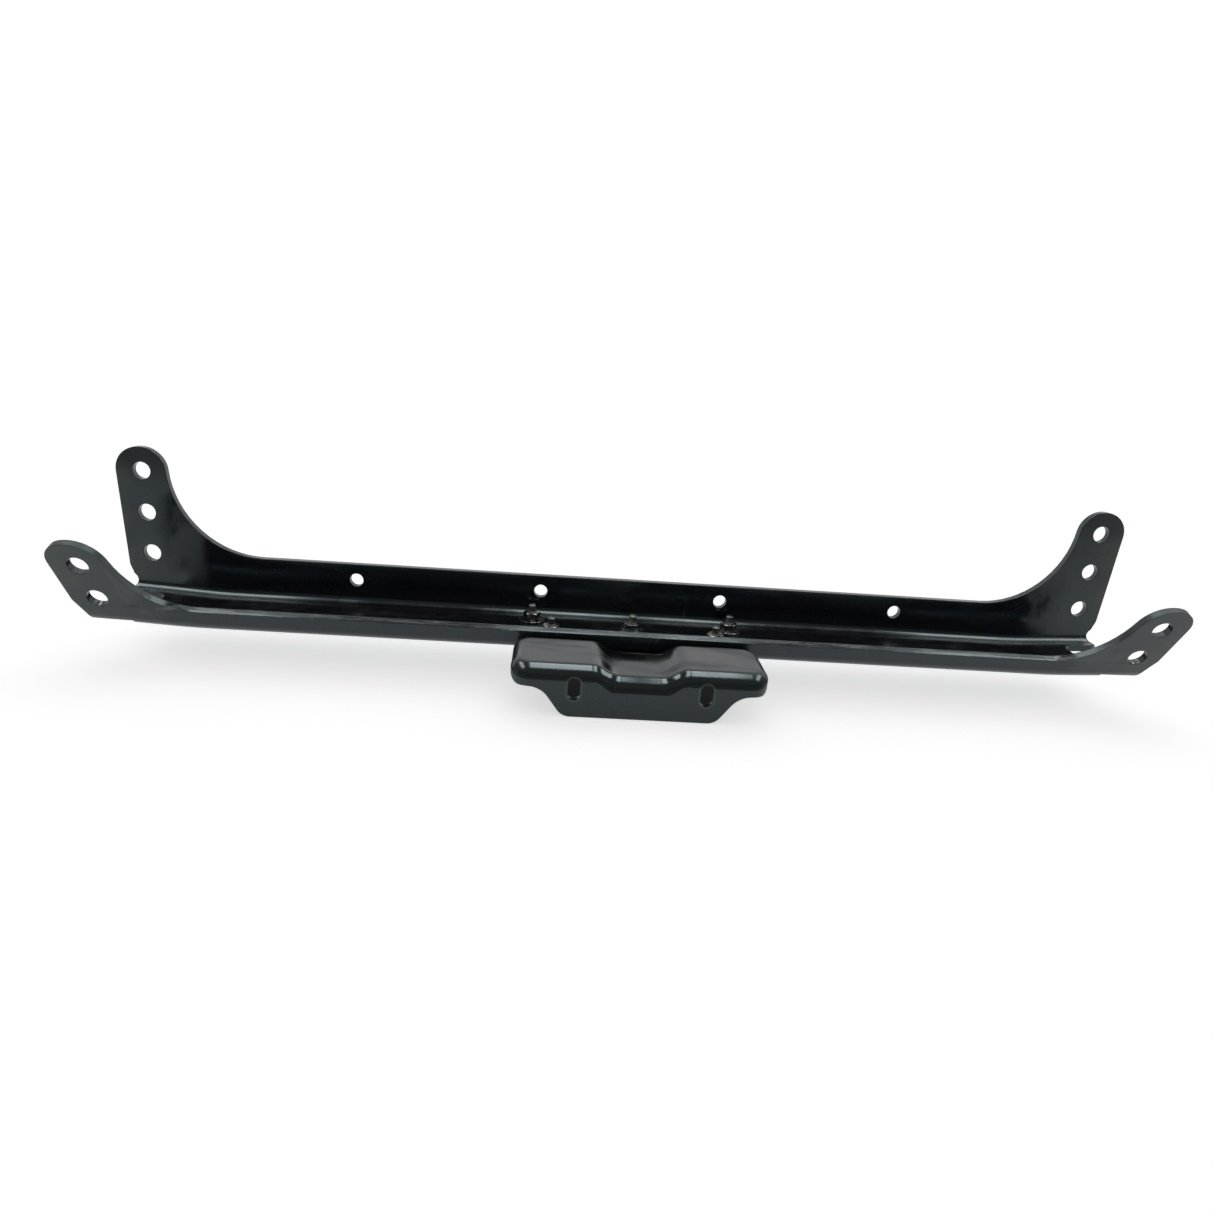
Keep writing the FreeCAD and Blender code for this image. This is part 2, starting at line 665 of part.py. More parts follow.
def tongue_outline(body):
    """The front wall's lower part, narrowing from the band by two swept shoulders."""
    foot = size("tongue_half")
    top = size("tongue_top")
    base = size("band_z")
    low = size("tongue_z")
    corner = size("tongue_corner")
    sweep = size("tongue_sweep")
    cap_z = base + size("sheet") / 4
    across = top - foot
    rise = base - sweep - low - corner
    turn = math.atan2(rise, across) - math.acos((corner + sweep) / math.hypot(across, rise))
    cosine = math.cos(turn)
    sine = math.sin(turn)
    degrees = math.degrees(turn)
    sketch = new_sketch(body, "tongue_outline", "XZ_Plane")
    sketch.setExpression("AttachmentOffset.Base.z", Length(box_front=1).formula)
    bottom = line(sketch, (-foot, low), (foot, low))
    cap = line(sketch, (-top, cap_z), (top, cap_z))
    fix(sketch, "Symmetric", bottom, 1, bottom, 2, -2)
    fix(sketch, "Symmetric", cap, 1, cap, 2, -2)
    place(sketch, bottom, 2, Length(tongue_half=1), Length(tongue_z=1))
    place(sketch, cap, 2, Length(tongue_top=1), Length(band_z=1, sheet=0.25))
    for sign, end, first, last in ((1, 2, 1, 2), (-1, 1, 2, 1)):
        low_turns = (-90, degrees) if sign > 0 else (180 - degrees, 270)
        high_turns = (90, 180 + degrees) if sign > 0 else (-degrees, 90)
        low_x = sign * (foot + corner * cosine)
        high_x = sign * (top - sweep * cosine)
        low_z = low + corner + corner * sine
        high_z = base - sweep - sweep * sine
        round_off = arc(sketch, (sign * foot, low + corner), corner, *low_turns)
        side = line(sketch, (low_x, low_z), (high_x, high_z))
        shoulder = arc(sketch, (sign * top, base - sweep), sweep, *high_turns)
        post = line(sketch, (sign * top, base), (sign * top, cap_z))
        fix(sketch, "Tangent", bottom, end, round_off, first)
        fix(sketch, "Tangent", round_off, last, side, 1)
        fix(sketch, "Tangent", side, 2, shoulder, last)
        fix(sketch, "Coincident", shoulder, first, post, 1)
        fix(sketch, "Coincident", post, 2, cap, end)
        fix(sketch, "Vertical", post)
        fix(sketch, "Vertical", post, 1, shoulder, 3)
        fix(sketch, "Radius", round_off, to=Length(tongue_corner=1))
        fix(sketch, "Radius", shoulder, to=Length(tongue_sweep=1))
        fix(sketch, "DistanceY", -1, 1, post, 1, to=Length(band_z=1))
    return sketch


def band_corners(body):
    """What is trimmed off the side walls' lower corners, in front view."""
    sketch = new_sketch(body, "band_corners", "XZ_Plane")
    sketch.setExpression("AttachmentOffset.Base.z", Length(box_front=1).formula)
    low = size("band_z")
    radius = size("band_corner")
    margin = size("sheet")
    for sign in (-1, 1):
        start = sign * (size("box_half_width") - radius)
        far = sign * (size("box_half_width") + margin)
        turns = (270, 360) if sign > 0 else (180, 270)
        first, last = (1, 2) if sign > 0 else (2, 1)
        bend = arc(sketch, (start, low + radius), radius, *turns)
        top = line(sketch, (sign * size("box_half_width"), low + radius), (far, low + radius))
        side = line(sketch, (far, low + radius), (far, low - margin))
        under = line(sketch, (far, low - margin), (start, low - margin))
        rise = line(sketch, (start, low - margin), (start, low))
        join(sketch, "Coincident", [(bend, last, top, 1), (top, 2, side, 1), (side, 2, under, 1),
                                    (under, 2, rise, 1), (rise, 2, bend, first)])
        for geo in (top, under):
            fix(sketch, "Horizontal", geo)
        for geo in (side, rise):
            fix(sketch, "Vertical", geo)
        fix(sketch, "Vertical", bend, first, bend, 3)
        fix(sketch, "Horizontal", bend, last, bend, 3)
        place(sketch, bend, 3, Length(box_half_width=sign, band_corner=-sign),
              Length(band_z=1, band_corner=1))
        place(sketch, side, 2, Length(box_half_width=sign, sheet=sign),
              Length(band_z=1, sheet=-1))
        fix(sketch, "DistanceY", -1, 1, bend, first, to=Length(band_z=1))
    return sketch


def upright_slot(sketch, sign):
    """A slot with round ends, on one side of the front wall."""
    x = sign * size("slot_x")
    z = size("slot_z")
    radius = size("slot_width") / 2
    reach = size("slot_length") / 2 - radius
    head = arc(sketch, (x, z + reach), radius, 0, 180)
    left = line(sketch, (x - radius, z + reach), (x - radius, z - reach))
    foot = arc(sketch, (x, z - reach), radius, 180, 360)
    right = line(sketch, (x + radius, z - reach), (x + radius, z + reach))
    join(sketch, "Tangent", [(head, 2, left, 1), (left, 2, foot, 1), (foot, 2, right, 1),
                             (right, 2, head, 1)])
    fix(sketch, "Vertical", left)
    fix(sketch, "Radius", head, to=Length(slot_width=0.5))
    place(sketch, head, 3, Length(slot_x=sign), Length(slot_z=1, slot_length=0.5, slot_width=-0.5))
    fix(sketch, "DistanceY", foot, 3, head, 3, to=Length(slot_length=1, slot_width=-1))


def base_outline(body):
    """Flat rear plate that lies under the floor, with round rear corners."""
    sketch = new_sketch(body, "base_outline", "XY_Plane")
    sketch.setExpression("AttachmentOffset.Base.z", Length(plate=-1).formula)
    half = size("base_half_width")
    rear = size("base_rear")
    front = -size("box_rear") - size("sheet")
    corners = [(-half, front), (half, front), (half, rear), (-half, rear)]
    near_side, right, far_side, left = polygon(sketch, corners)
    fix(sketch, "Horizontal", far_side)
    for geo in (left, right):
        fix(sketch, "Vertical", geo)
    fix(sketch, "Symmetric", near_side, 1, near_side, 2, -2)
    place(sketch, right, 2, Length(base_half_width=1), Length(base_rear=1))
    fix(sketch, "DistanceY", near_side, 1, -1, 1, to=Length(box_rear=1, sheet=1))
    return sketch


def make_bracket():
    body = new_body("support_bracket")
    grow(body, "Pad", "box_block", box_outline(body), Length(box_front=1, box_rear=-1),
         Reversed=True)
    inner = size("lobe_inner")
    saddle = size("saddle_half")
    band = size("band_z")
    rear = size("base_rear")
    ramps = (-inner, -saddle, saddle, inner)
    round_edges(body, "ramp_bends",
                lambda edge: along(edge, AXIS_Y)
                and any(near(edge.CenterOfMass, x=x) for x in ramps),
                Length(ramp_radius=1))
    round_edges(body, "box_corners", lambda edge: along(edge, AXIS_Z),
                Length(corner_radius=1))
    round_edges(body, "crown",
                lambda edge: edge.BoundBox.ZMin > band + 1
                and not (along(edge, AXIS_Y) and abs(edge.CenterOfMass.x) < 2 * inner),
                Length(crown_radius=1))
    block = body.Tip
    open_side = [f"Face{n}" for n, face in enumerate(block.Shape.Faces, 1)
                 if near(face.CenterOfMass, z=band)]
    shell = body.newObject("PartDesign::Thickness", "box_shell")
    shell.Base = (block, open_side)
    shell.Reversed = True
    shell.setExpression("Value", Length(sheet=1).formula)
    doc.recompute()
    grow(body, "Pocket", "trimmed_corners", band_corners(body),
         Length(box_front=1, box_rear=-1))
    grow(body, "Pad", "tongue", tongue_outline(body), Length(sheet=1), Reversed=True)
    grow(body, "Pad", "base_plate", base_outline(body), Length(sheet=1), Reversed=True)
    round_edges(body, "base_corners",
                lambda edge: along(edge, AXIS_Z) and near(edge.CenterOfMass, y=rear),
                Length(base_corner=1))
    slots = new_sketch(body, "slot_outlines", "XZ_Plane")
    slots.setExpression("AttachmentOffset.Base.z", Length(box_front=1).formula)
    for sign in (-1, 1):
        upright_slot(slots, sign)
    grow(body, "Pocket", "slots", slots, Length(sheet=3))
    drill(body, "base_holes", new_sketch(body, "base_hole_centres", "XY_Plane"),
          "bolt_hole", bolt_centres().values(), Length(plate=4))
    stand(body)
    return body


# ---- fasteners -------------------------------------------------------------------------------

def hexagon(sketch, across_flats):
    """A regular hexagon about the sketch's origin, sized across its flats."""
    corner = across_flats / math.sqrt(3)
    turns = [math.radians(60 * n) for n in range(6)]
    corners = [(corner * math.cos(turn), corner * math.sin(turn)) for turn in turns]
    sides = polygon(sketch, corners)
    join(sketch, "Equal", [(sides[0], side) for side in sides[1:]])
    ring = circle(sketch, (0, 0), corner)
    sketch.toggleConstruction(ring)
    fix(sketch, "Coincident", ring, 3, -1, 1)
    join(sketch, "PointOnObject", [(side, 1, ring) for side in sides])
    fix(sketch, "PointOnObject", sides[0], 1, -1)
    fix(sketch, "Diameter", ring, to=Length(hex=2 / math.sqrt(3)))


def add_hex(body, name, start, tall, downwards):
    """A hexagonal prism from a height, with its corners turned off at the free end."""
    sketch = new_sketch(body, f"{name}_hexagon", "XY_Plane")
    sketch.setExpression("AttachmentOffset.Base.z", start.formula)
    hexagon(sketch, size("hex"))
    grow(body, "Pad", name, sketch, tall, Reversed=downwards)
    way = -1 if downwards else 1
    end = start.plus(tall, way)
    edge = end.plus(Length(hex=(HEX_TIP - HEX_FLAT) * math.tan(HEX_TURN)), -way)
    flat = Length(hex=HEX_FLAT)
    tip = Length(hex=HEX_TIP)
    bevel = new_sketch(body, f"{name}_bevel", "XZ_Plane")
    corners = [(flat, end), (tip, edge), (tip, end)]
    slope, wall, cap = polygon(bevel, [(across.value, up.value) for across, up in corners])
    fix(bevel, "Vertical", wall)
    fix(bevel, "Horizontal", cap)
    fix(bevel, "DistanceX", -1, 1, slope, 1, to=flat)
    place(bevel, wall, 1, tip, edge)
    fix(bevel, "DistanceY", -1, 1, cap, 1, to=end)
    before = body.Shape.Volume
    turning = body.newObject("PartDesign::Groove", f"{name}_turning")
    turning.Profile = bevel
    turning.ReferenceAxis = (bevel, ["V_Axis"])
    turning.Angle = 360
    doc.recompute()
    if body.Shape.Volume > before - 1:
        raise RuntimeError(f"{name} keeps its corners")


def make_bolt(label, centre):
    """Flanged hexagon bolt with a dog point, its head under the bracket's plate."""
    body = new_body(label)
    middle = Length()
    corners = [
        (middle, Length(head_height=-COLLAR)),
        (Length(head_flange=0.5, bevel=-1), Length(head_height=-COLLAR)),
        (Length(head_flange=0.5), Length(head_height=-COLLAR / 2)),
        (Length(head_flange=0.5), middle),
        (Length(shank=0.5), middle),
        (Length(shank=0.5),
         Length(bolt_length=1, point_length=-1, shank=-NECK_SLOPE / 2, point=NECK_SLOPE / 2)),
        (Length(point=0.5), Length(bolt_length=1, point_length=-1)),
        (Length(point=0.5), Length(bolt_length=1, bevel=-1)),
        (Length(point=0.5, bevel=-1), Length(bolt_length=1)),
        (middle, Length(bolt_length=1)),
    ]
    sketch = new_sketch(body, f"{label}_profile", "XZ_Plane")
    lines = polygon(sketch, [(across.value, up.value) for across, up in corners])
    for geo, (across, up) in zip(lines, corners):
        place(sketch, geo, 1, across, up)
    turned = body.newObject("PartDesign::Revolution", f"{label}_turned")
    turned.Profile = sketch
    turned.ReferenceAxis = (sketch, ["V_Axis"])
    turned.Angle = 360
    doc.recompute()
    add_hex(body, f"{label}_head", Length(head_height=-0.25), Length(head_height=0.75), True)
    stand(body, centre, plate=-1, sheet=-1)
    return body


def make_nut(label, centre):
    body = new_body(label)
    add_hex(body, f"{label}_block", Length(), Length(nut_height=1), False)
    bore = new_sketch(body, f"{label}_bore_centre", "XY_Plane")
    hole = circle(bore, (0, 0), size("thread_bore") / 2)
    fix(bore, "Coincident", hole, 3, -1, 1)
    fix(bore, "Diameter", hole, to=Length(thread_bore=1))
    grow(body, "Pocket", f"{label}_bore", bore, Length(nut_height=2), Midplane=True)
    stand(body, centre, washer_thick=1)
    return body


def make_washer(label, centre):
    body = new_body(label)
    rings = new_sketch(body, f"{label}_rings", "XY_Plane")
    for alias in ("washer_outer", "washer_bore"):
        ring = circle(rings, (0, 0), size(alias) / 2)
        fix(rings, "Coincident", ring, 3, -1, 1)
        fix(rings, "Diameter", ring, to=Length(**{alias: 1}))
    grow(body, "Pad", f"{label}_disc", rings, Length(washer_thick=1))
    round_edges(body, f"{label}_edges",
                lambda edge: abs(edge.BoundBox.XLength - size("washer_outer")) < 0.01,
                Length(washer_thick=0.2))
    stand(body, centre)
    return body


make_channel()
make_bracket()
for place_name, bolt_centre in bolt_centres().items():
    make_bolt(f"bolt_{place_name}", bolt_centre)
    make_nut(f"nut_{place_name}", bolt_centre)
    make_washer(f"washer_{place_name}", bolt_centre)
doc.recompute()

for item in doc.Objects:
    if "Invalid" in item.State or "Error" in item.State:
        raise RuntimeError(f"{item.Name} failed: {item.State}")
for node in NODES:
    if node.Shape.isNull() or not node.Shape.isValid():
        raise RuntimeError(f"{node.Label} has no valid shape")
    if len(node.Shape.Solids) != 1:
        raise RuntimeError(f"{node.Label} is {len(node.Shape.Solids)} solids")

os.makedirs("parts", exist_ok=True)
for node in NODES:
    node.Shape.exportStep(f"parts/{node.Label}.step")
    print(f"{node.Label}: {node.Shape.Volume / 1000:.1f} cm3")
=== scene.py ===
"""Looks of the chassis crossmember: camera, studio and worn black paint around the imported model."""

import math

import bpy
from mathutils import Euler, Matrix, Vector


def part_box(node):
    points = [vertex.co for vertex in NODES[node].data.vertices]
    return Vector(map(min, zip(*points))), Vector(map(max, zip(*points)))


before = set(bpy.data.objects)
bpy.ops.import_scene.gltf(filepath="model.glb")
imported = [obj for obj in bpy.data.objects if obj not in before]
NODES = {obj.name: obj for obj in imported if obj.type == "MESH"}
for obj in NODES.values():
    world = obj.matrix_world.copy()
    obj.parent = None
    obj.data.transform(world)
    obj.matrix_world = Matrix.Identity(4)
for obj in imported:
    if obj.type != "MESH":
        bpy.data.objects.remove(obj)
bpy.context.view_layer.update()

# ---- camera ----------------------------------------------------------------------------------

SENSOR = 36.0
LENS = 24.939
CAMERA_PLACE = (-0.0685, -0.7164, 0.1757)
CAMERA_TURN = (71.641, -4.352, -2.434)     # degrees about X, Y and Z


def add_camera():
    data = bpy.data.cameras.new("camera")
    data.sensor_width = SENSOR
    data.lens = LENS
    data.clip_start = 0.01
    camera = bpy.data.objects.new("camera", data)
    camera.location = CAMERA_PLACE
    camera.rotation_euler = Euler([math.radians(turn) for turn in CAMERA_TURN])
    bpy.context.scene.collection.objects.link(camera)
    bpy.context.scene.camera = camera


# ---- studio ----------------------------------------------------------------------------------

PANEL_HEIGHT = 0.95
PANEL_DEPTH = 1.0
PANEL_BACK = -0.12
PANELS = (                       # name, centre across, width, brightness
    ("panel_left", -0.79, 0.36, 7.5),
    ("panel_inner_left", -0.032, 0.225, 8.0),
    ("panel_inner_right", 0.237, 0.165, 8.5),
    ("panel_right", 0.93, 0.44, 7.0),
)
BACKDROP = 1.02                  # brightness of the studio behind the object
CEILING = 0.42
FRONT_WALL = 0.26                # the dim side, which only faces turned to the camera mirror
UPPER_SKY = 0.80                 # share of the brightness left above the backdrop's lower part
BACKDROP_EDGE = (0.30, 0.55)     # where each zone fades in, as a part of the direction's length
UPPER_EDGE = (0.31, 0.42)
WALL_EDGE = (-0.05, -0.45)
WALL_FOOT = (-0.30, -0.10)
WALL_TOP = (0.62, 0.42)
# strength of the floor's glow, painted light from a surface that is no lamp
FLOOR_GLOW = 0.60


def add_panel(name, across, width, brightness):
    """A soft panel facing down over the object, seen in its gloss but lighting no dull surface."""
    data = bpy.data.lights.new(name, "AREA")
    data.shape = "RECTANGLE"
    data.size = width
    data.size_y = PANEL_DEPTH
    data.energy = brightness * width * PANEL_DEPTH * math.pi
    lamp = bpy.data.objects.new(name, data)
    lamp.location = (across, PANEL_BACK, PANEL_HEIGHT)
    lamp.visible_diffuse = False
    bpy.context.scene.collection.objects.link(lamp)


def add_world():
    """White behind the object, dimmer overhead and dimmest at eye level in front of it."""
    world = bpy.data.worlds.new("studio")
    world.use_nodes = True
    nodes = world.node_tree.nodes
    links = world.node_tree.links
    way = nodes.new("ShaderNodeTexCoord")
    parts = nodes.new("ShaderNodeSeparateXYZ")
    links.new(way.outputs["Generated"], parts.inputs["Vector"])

    def fade(axis, low, high, first, last):
        shade = nodes.new("ShaderNodeMapRange")
        shade.interpolation_type = "SMOOTHSTEP"
        links.new(parts.outputs[axis], shade.inputs["Value"])
        for name, value in (("From Min", low), ("From Max", high), ("To Min", first),
                            ("To Max", last)):
            shade.inputs[name].default_value = value
        return shade.outputs["Result"]

    def combine(operation, first, second):
        node = nodes.new("ShaderNodeMath")
        node.operation = operation
        links.new(first, node.inputs[0])
        links.new(second, node.inputs[1])
        return node.outputs[0]

    overhead = fade("Y", *BACKDROP_EDGE, CEILING, BACKDROP)
    ahead = fade("Y", *WALL_EDGE, 0.0, CEILING - FRONT_WALL)
    level = combine("MULTIPLY", fade("Z", *WALL_FOOT, 0.0, 1.0), fade("Z", *WALL_TOP, 0.0, 1.0))
    raised = combine("MULTIPLY", overhead, fade("Z", *UPPER_EDGE, 1.0, UPPER_SKY))
    strength = combine("SUBTRACT", raised, combine("MULTIPLY", ahead, level))
    background = nodes["Background"]
    background.inputs["Color"].default_value = (1, 1, 1, 1)
    links.new(strength, background.inputs["Strength"])
    bpy.context.scene.world = world


# ---- material graphs -------------------------------------------------------------------------

SAMPLES = 6
EDGE_TURN = (0.995, 0.86)        # cosines between flat and rounded normal, from plain face to edge
UPWARD = (0.3, 0.95)             # height of the normal, from steep to level
HOLLOW = (0.85, 0.3)             # openness, from free face to corner
RING_WIDTH = 0.0012
RING_SOFT = 0.0006


class Graph:
    """A material's node tree with short calls that return output sockets."""

    def __init__(self, name):
        self.material = bpy.data.materials.new(name)
        self.material.use_nodes = True
        self.tree = self.material.node_tree
        self.shader = self.tree.nodes["Principled BSDF"]
        self.spot = self.add("ShaderNodeTexCoord").outputs["Object"]
        self.axes = self.add("ShaderNodeSeparateXYZ", Vector=self.spot).outputs

    def add(self, kind, settings=(), **inputs):
        node = self.tree.nodes.new(kind)
        for name, value in dict(settings).items():
            setattr(node, name, value)
        for name, value in inputs.items():
            self.feed(node.inputs[name.replace("_", " ")], value)
        return node

    def feed(self, socket, value):
        if isinstance(value, bpy.types.NodeSocket):
            self.tree.links.new(value, socket)
        else:
            socket.default_value = value

    def set(self, name, value):
        self.feed(self.shader.inputs[name], value)

    def sum(self, operation, *values):
        node = self.add("ShaderNodeMath", {"operation": operation})
        for socket, value in zip(node.inputs, values):
            self.feed(socket, value)
        return node.outputs[0]

    def times(self, *values):
        total = values[0]
        for value in values[1:]:
            total = self.sum("MULTIPLY", total, value)
        return total

    def span(self, value, low, high, start=0.0, end=1.0, smooth=True):
        """Value mapped from low-high to start-end, held at the ends."""
        node = self.add("ShaderNodeMapRange",
                        {"interpolation_type": "SMOOTHSTEP" if smooth else "LINEAR"})
        for name, item in (("Value", value), ("From Min", low), ("From Max", high),
                           ("To Min", start), ("To Max", end)):
            self.feed(node.inputs[name], item)
        return node.outputs["Result"]

    def band(self, value, low, high, soft):
        """One between low and high, falling to zero over a soft width on both sides."""
        rise = self.span(value, low - soft, low)
        fall = self.span(value, high, high + soft, 1.0, 0.0)
        return self.times(rise, fall)

    def noise(self, scale, detail=2.0, stretch=(1, 1, 1), rough=0.5, warp=0.0, shift=(0, 0, 0)):
        spot = self.spot
        if stretch != (1, 1, 1) or shift != (0, 0, 0):
            spot = self.add("ShaderNodeMapping", Vector=spot, Scale=stretch,
                            Location=shift).outputs["Vector"]
        node = self.add("ShaderNodeTexNoise", Vector=spot, Scale=scale, Detail=detail,
                        Roughness=rough, Distortion=warp)
        return node.outputs["Fac"]

    def cells(self, scale):
        node = self.add("ShaderNodeTexVoronoi", {"feature": "F1"}, Vector=self.spot, Scale=scale)
        return node.outputs["Distance"]

    def mix(self, share, first, second):
        node = self.add("ShaderNodeMix", {"data_type": "RGBA"})
        self.feed(node.inputs["Factor"], share)
        self.feed(node.inputs[6], first)
        self.feed(node.inputs[7], second)
        return node.outputs[2]

    def blend(self, share, first, second):
        node = self.add("ShaderNodeMix", {"data_type": "FLOAT"})
        self.feed(node.inputs["Factor"], share)
        self.feed(node.inputs[2], first)
        self.feed(node.inputs[3], second)
        return node.outputs[0]

    def edges(self, radius):
        """How sharply the surface turns within a radius, and the normal rounded over it."""
        bevel = self.add("ShaderNodeBevel", {"samples": SAMPLES}, Radius=radius)
        rounded = bevel.outputs["Normal"]
        flat = self.add("ShaderNodeNewGeometry").outputs["True Normal"]
        node = self.add("ShaderNodeVectorMath", {"operation": "DOT_PRODUCT"})
        self.feed(node.inputs[0], rounded)
        self.feed(node.inputs[1], flat)
        return self.span(node.outputs["Value"], *EDGE_TURN), rounded

    def upward(self):
        """One on level faces seen from above, zero on steep ones."""
        normal = self.add("ShaderNodeNewGeometry").outputs["True Normal"]
        height = self.add("ShaderNodeSeparateXYZ", Vector=normal).outputs["Z"]
        return self.span(height, *UPWARD)

    def hollow(self, reach):
        """Near one in corners and under overhangs, zero on open faces."""
        open_air = self.add("ShaderNodeAmbientOcclusion", {"samples": SAMPLES}, Distance=reach)
        return self.span(open_air.outputs["AO"], *HOLLOW)

    def slot_rings(self, middle, height, half_length, half_width):
        """A narrow ring round each of two upright slots, in front view."""
        aside = self.sum("SUBTRACT", self.sum("ABSOLUTE", self.axes[0]), middle)
        along = self.sum("ABSOLUTE", self.sum("SUBTRACT", self.axes[2], height))
        beyond = self.sum("MAXIMUM", self.sum("SUBTRACT", along, half_length), 0.0)
        squares = self.sum("ADD", self.times(aside, aside), self.times(beyond, beyond))
        away = self.sum("SQRT", squares)
        return self.band(away, half_width, half_width + RING_WIDTH, RING_SOFT)

    def softened(self, normal, profile):
        """The normal turned up near a pressed crown, as if its radius were larger than it is."""
        across = self.sum("ABSOLUTE", self.axes[0])
        crest = self.span(across, *profile["ramp"], *profile["crests"])
        below = self.sum("SUBTRACT", crest, self.axes[2])
        start, end = profile["bend"]
        amount = self.times(self.span(below, 0.0, start), self.span(below, end, start),
                            profile["turn"])
        rear = self.times(self.span(self.axes[1], *profile["rear"]),
                          self.span(below, *profile["rear_depth"]))
        amount = self.blend(rear, amount, profile["rear_turn"])
        lift = self.add("ShaderNodeCombineXYZ", Z=amount).outputs[0]
        total = self.add("ShaderNodeVectorMath", {"operation": "ADD"})
        self.feed(total.inputs[0], normal)
        self.feed(total.inputs[1], lift)
        return self.add("ShaderNodeVectorMath", {"operation": "NORMALIZE"},
                        Vector=total.outputs["Vector"]).outputs["Vector"]

    def bump(self, height, strength, depth, below=None):
        node = self.add("ShaderNodeBump", Height=height, Strength=strength, Distance=depth)
        if below is not None:
            self.feed(node.inputs["Normal"], below)
        return node.outputs["Normal"]


# ---- floor -----------------------------------------------------------------------------------

FLOOR_SIZE = 60
FLOOR_GAP = 0.0005               # between the lowest point of the part and the floor
SHADE_HALF = (0.070, 0.062)      # half width of the unlit patch behind the tongue, out to in
SHADE_BACK = (-0.116, -0.072)    # the patch from front to back
SHADE_SOFT = 0.008               # the length over which it fades
SHADE_SPLAY = (0.18, 0.0204)     # slope and offset with which it widens towards the back
# how much the painted shadow darkens the floor's colour
SHADE_DEPTH = 0.8
GLOW_END = (-0.78, -0.54)        # where the glow starts and where it is full, in front
PALE = (0.93, 0.95)


def glowing_floor_with_painted_shadow():
    """Pale floor with a little glow as painted light, fading out far in front, and a painted shadow
    under the bracket, where the glow stops and the colour is darker.
    """
    graph = Graph("glowing_floor_with_painted_shadow")
    across, back = graph.sum("ABSOLUTE", graph.axes[0]), graph.axes[1]
    aside = graph.sum("SUBTRACT", across, graph.sum("MULTIPLY_ADD", back, *SHADE_SPLAY))
    # painted shadow behind the tongue: no glow there and a darker colour
    under = graph.times(graph.span(aside, *SHADE_HALF), graph.band(back, *SHADE_BACK, SHADE_SOFT))
    lit = graph.times(graph.sum("SUBTRACT", 1.0, under), graph.span(back, *GLOW_END))
    stain = graph.span(graph.noise(3.0, 4.0), 0.3, 0.7, *PALE, smooth=False)
    shade = graph.times(stain, graph.sum("SUBTRACT", 1.0, graph.times(under, SHADE_DEPTH)))
    graph.set("Base Color", graph.mix(shade, (0, 0, 0, 1), (1, 1, 1, 1)))
    graph.set("Roughness", 0.8)
    graph.set("Specular IOR Level", 0.2)
    graph.set("Emission Color", (1, 1, 1, 1))
    graph.set("Emission Strength", graph.times(lit, FLOOR_GLOW))
    return graph.material


def add_floor():
    low = min(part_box(name)[0].z for name in NODES)
    bpy.ops.mesh.primitive_plane_add(size=FLOOR_SIZE, location=(0, 0, low - FLOOR_GAP))
    floor = bpy.context.object
    floor.name = "floor"
    floor.data.materials.append(glowing_floor_with_painted_shadow())


# ---- paint -----------------------------------------------------------------------------------

BARE_STEEL = (0.30, 0.29, 0.27, 1)
PRIMER = (0.13, 0.135, 0.13, 1)
DUST = (0.18, 0.185, 0.18, 1)
# colour of the grime and of the painted shade in hollows
GRIME_AND_SHADE = (0.006, 0.006, 0.005, 1)
HAZE = (0.036, 0.040, 0.040, 1)
OLIVE = (0.085, 0.078, 0.03, 1)
FILM = (0.040, 0.041, 0.038, 1)
PAINT_TINT = (0.80, 0.96, 1.0, 1)
PAINT_EDGE = 0.0011              # radius over which the paint rounds an edge
HAZE_ACROSS = (0.374, 0.394)     # beside the rear ears' holes, from the middle
HAZE_HEIGHTS = (-0.050, 0.000)
OLIVE_ACROSS = (0.398, 0.436)    # towards the ears' outer edges
EAR_RIM_ACROSS = (0.385, 0.400)  # the front ears' rims, which are duller
EAR_RIM_FRONT = (-0.080, -0.090)
FILM_ACROSS = (0.370, 0.410)     # the front ears, which carry a dull film
FILM_FRONT = (-0.075, -0.085)
LIP_SOFT = 0.0006
LIP_BACK_SOFT = 0.002
HAZE_SOFT = (0.012, 0.024)       # the haze's fade across and up
PEEL = (0.10, 0.00012)           # strength and depth of the bumps
WAVE = (0.16, 0.0012)
CHIP = (0.5, 0.00008)
PAINT_IOR = 1.5
BARE_METAL = 0.85
WORN_ROUGH = 0.5
GRIMY_ROUGH = 0.55
HAZY_ROUGH = 0.42
RIM_ROUGH = 0.55
LIP_ROUGH = (0.16, 0.60)


def scratches(graph):
    """Long rolling marks and short upright ones, in patches."""
    along = graph.span(graph.noise(90.0, 2.0, stretch=(0.05, 1, 1.7), warp=0.15), 0.705, 0.73)
    upright = graph.noise(70.0, 2.0, stretch=(1.4, 1, 0.08), shift=(3, 1, 2))
    marks = graph.sum("MAXIMUM", along, graph.span(upright, 0.76, 0.79))
    return graph.times(marks, graph.span(graph.noise(12.0, 2.0), 0.45, 0.6))


def ear_haze(graph, aside, up):
    """Dull patches beside the rear ears' holes."""
    column = graph.band(aside, *HAZE_ACROSS, HAZE_SOFT[0])
    patch = graph.times(column, graph.band(up, *HAZE_HEIGHTS, HAZE_SOFT[1]))
    return graph.times(patch, graph.span(graph.noise(55.0, 4.0, stretch=(1, 1, 0.5)), 0.3, 0.6))


